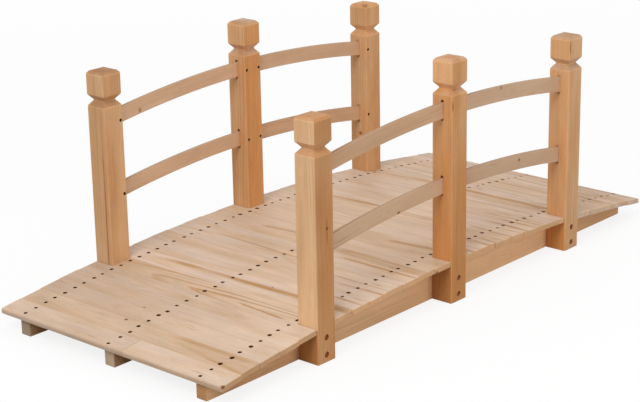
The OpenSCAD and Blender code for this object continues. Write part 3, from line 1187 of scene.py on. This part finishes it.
def screw_head(shape, centre, axes, radius, thickness):
    """A flat head with a cross recess."""
    u_axis, v_axis, outward = axes
    arm, width, bevel = radius * RECESS_ARM, radius * RECESS_WIDTH, radius * HEAD_BEVEL
    cross = []
    for quarter in range(4):
        turn = Matrix.Rotation(math.pi / 2 * quarter, 2)
        for point in ((arm, -width), (arm, width), (width, width)):
            cross.append(turn @ Vector(point))

    def at(point, rise):
        return centre + u_axis * point[0] + v_axis * point[1] + outward * rise

    outer = [shape.verts.new(at(point, -bevel)) for point in circle(radius)]
    rim = [shape.verts.new(at(point, 0.0)) for point in circle(radius - bevel)]
    base = [shape.verts.new(at(point, -thickness)) for point in circle(radius)]
    lip = [shape.verts.new(at(point, 0.0)) for point in cross]
    floor = [shape.verts.new(at(point * RECESS_TAPER, -thickness / 2)) for point in cross]
    for ring, nxt in ((base, outer), (outer, rim), (floor, lip)):
        count = len(ring)
        for here in range(count):
            there = (here + 1) % count
            shape.faces.new((ring[here], ring[there], nxt[there], nxt[here]))
    shape.faces.new(floor)
    shape.faces.new(base[::-1])
    edges = []
    for ring in (rim, lip):
        for here, vert in enumerate(ring):
            edges.append(shape.edges.get((vert, ring[(here + 1) % len(ring)])))
    bmesh.ops.triangle_fill(shape, use_beauty=True, edges=edges)


def add_screws(name, heads, metal):
    chance = luck_of(name)
    shape = bmesh.new()
    for face, (u_axis, v_axis, outward), radius, sink, thickness in heads:
        angle = chance.uniform(0, math.pi / 2)
        u = u_axis * math.cos(angle) + v_axis * math.sin(angle)
        v = v_axis * math.cos(angle) - u_axis * math.sin(angle)
        screw_head(shape, face - outward * sink, (u, v, outward), radius, thickness)
    bmesh.ops.recalc_face_normals(shape, faces=shape.faces)
    piece = to_object(shape, name, metal)
    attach(piece, "root")


deck_screws, slat_screws, foot_screws = [], [], []
for plank_number in range(1, PLANK_COUNT + 1):
    plank(plank_number)
for joist_name in JOIST_LINES:
    joist(joist_name)
for slat_name in [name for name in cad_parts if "_slat_" in name]:
    slat(slat_name)
for post_name in [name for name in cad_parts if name.startswith("post_")]:
    post(post_name)
add_screws("deck_screws", deck_screws, DARK_STEEL)
add_screws("slat_screws", slat_screws, DARK_STEEL)
add_screws("foot_screws", foot_screws, BRONZED_STEEL)


# Stage


FLOOR_SIZE = 14.0
FLOOR_GLOW = 0.84
FLOOR_FADE = (1.2, 5.0)
FLOOR_SEEN = 0.92
FLOOR_BOUNCE = 0.42
DOME_LOW = 0.2
DOME_HIGH = 0.9
# lamps as name, place, side and power
LAMPS = (
    ("key", Vector((-6.0, -2.2, 6.8)), 4.5, 400.0),
    ("fill", Vector((1.0, -6.5, 1.6)), 3.0, 95.0),
    ("back", Vector((5.5, 5.0, 2.2)), 3.0, 45.0),
)


def seen_directly(nodes):
    """One for the rays that show a surface, in view, in a mirror or through glass."""
    rays = nodes.add("LightPath").outputs
    seen = nodes.math("MAXIMUM", rays["Is Camera Ray"], rays["Is Glossy Ray"])
    return nodes.math("MAXIMUM", seen, rays["Is Transmission Ray"])


def pale_floor():
    material, nodes = new_material("pale_floor")
    seen = seen_directly(nodes)
    grey = nodes.ramp(seen, 0.0, 1.0, FLOOR_BOUNCE, FLOOR_SEEN)
    colour = nodes.add("CombineXYZ", {0: grey, 1: grey, 2: grey}).outputs[0]
    paint = nodes.add("BsdfDiffuse", {"Color": colour})
    glow = nodes.add("Emission", {"Color": (1, 1, 1, 1), "Strength": 1.0})
    distance = nodes.vector("LENGTH", nodes.add("NewGeometry").outputs["Position"])
    share = nodes.math("MULTIPLY", seen, nodes.ramp(distance, *FLOOR_FADE, FLOOR_GLOW, 1.0))
    mixed = nodes.add("MixShader", {0: share, 1: paint.outputs[0], 2: glow.outputs[0]})
    nodes.add("OutputMaterial", {"Surface": mixed.outputs[0]})
    return material


def studio():
    shape = bmesh.new()
    bmesh.ops.create_grid(shape, x_segments=1, y_segments=1, size=FLOOR_SIZE)
    floor = to_object(shape, "floor", pale_floor())
    world = bpy.data.worlds.new("studio")
    world.use_nodes = True
    bpy.context.scene.world = world
    nodes = Nodes(world.node_tree)
    direction = nodes.add("TexCoord").outputs["Generated"]
    height = nodes.add("SeparateXYZ", {0: direction}).outputs[2]
    strength = nodes.ramp(height, 0.0, 1.0, DOME_LOW, DOME_HIGH, smooth=False)
    lit = nodes.add("Background", {"Color": (1, 1, 1, 1), "Strength": strength})
    white = nodes.add("Background", {"Color": (1, 1, 1, 1), "Strength": 1.0})
    mixed = nodes.add("MixShader", {0: seen_directly(nodes), 1: lit.outputs[0], 2: white.outputs[0]})
    nodes.add("OutputWorld", {"Surface": mixed.outputs[0]})
    for name, spot, side, power in LAMPS:
        lamp = bpy.data.lights.new(name, "AREA")
        lamp.shape = "SQUARE"
        lamp.size = side
        lamp.energy = power
        holder = bpy.data.objects.new(name, lamp)
        holder.location = spot
        holder.rotation_euler = (-spot).to_track_quat("-Z", "Y").to_euler()
        bpy.context.scene.collection.objects.link(holder)


# Camera, turned and placed as in the photograph
CAMERA_PLACE = Vector((-2.9733, -2.5725, 1.4410))
CAMERA_YAW = math.radians(41.674)
CAMERA_PITCH = math.radians(17.948)
CAMERA_ROLL = math.radians(-1.105)
FOCAL_PIXELS = 1786.39
PHOTO_WIDTH = 640
SENSOR_WIDTH = 36.0


def camera():
    forward = Vector((
        math.cos(CAMERA_YAW) * math.cos(CAMERA_PITCH),
        math.sin(CAMERA_YAW) * math.cos(CAMERA_PITCH),
        -math.sin(CAMERA_PITCH),
    ))
    level = Vector((math.sin(CAMERA_YAW), -math.cos(CAMERA_YAW), 0))
    upward = level.cross(forward)
    right = level * math.cos(CAMERA_ROLL) + upward * math.sin(CAMERA_ROLL)
    above = upward * math.cos(CAMERA_ROLL) - level * math.sin(CAMERA_ROLL)
    lens = bpy.data.cameras.new("camera")
    lens.sensor_width = SENSOR_WIDTH
    lens.lens = FOCAL_PIXELS / PHOTO_WIDTH * SENSOR_WIDTH
    viewer = bpy.data.objects.new("camera", lens)
    turn = Matrix((right, above, -forward)).transposed().to_4x4()
    viewer.matrix_world = Matrix.Translation(CAMERA_PLACE) @ turn
    bpy.context.scene.collection.objects.link(viewer)
    bpy.context.scene.camera = viewer


studio()
camera()
bpy.context.scene.view_settings.view_transform = "Standard"
